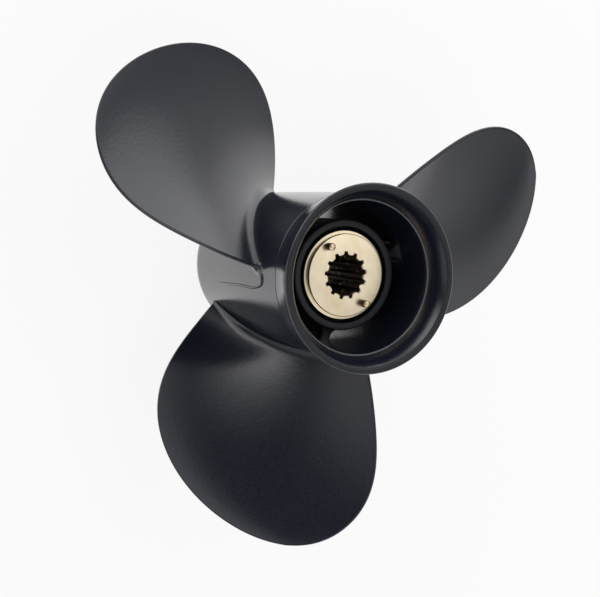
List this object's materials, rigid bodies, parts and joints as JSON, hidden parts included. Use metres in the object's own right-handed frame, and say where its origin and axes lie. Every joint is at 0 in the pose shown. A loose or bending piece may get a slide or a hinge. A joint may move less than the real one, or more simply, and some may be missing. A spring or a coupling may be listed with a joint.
{
  "type": "boat propeller",
  "caption": "Black painted boat propeller with broad swept blades, a flared through-hub exhaust, ribs, a rubber cushion and a splined brass drive sleeve with locating pins.",
  "frame": {"origin": "centre of volume, on the shaft axis, 62.367 mm above the flat front end of the barrel", "axes": "+Z along the shaft axis, aft, out of the exhaust mouth; +X along the root line of blade_1; it stands on its front end, mouth up"},
  "size_m": [0.2517, 0.2669, 0.135],
  "materials": {
    "painted_casting": "satin",
    "cushion_rubber": "matte",
    "plated_brass": "satin",
    "pin_brass": "satin"
  },
  "bodies": {
    "casting": {"outer_barrel": "painted_casting", "inner_hub": "painted_casting", "rib_1": "painted_casting", "rib_2": "painted_casting", "rib_3": "painted_casting", "blade_1": "painted_casting", "blade_2": "painted_casting", "blade_3": "painted_casting", "rubber_cushion": "cushion_rubber"},
    "drive_sleeve": {"spline_sleeve": "plated_brass", "rear_plate": "plated_brass", "locating_pin_1": "pin_brass", "locating_pin_2": "pin_brass"}
  },
  "joints": [
    {"name": "cushion_twist", "type": "hinge", "parent": "casting", "child": "drive_sleeve", "pos_m": [0, 0, 0], "axis": [0, 0, 1], "range_deg": [-10, 10], "stiffness_Nm_per_rad": 3}
  ]
}
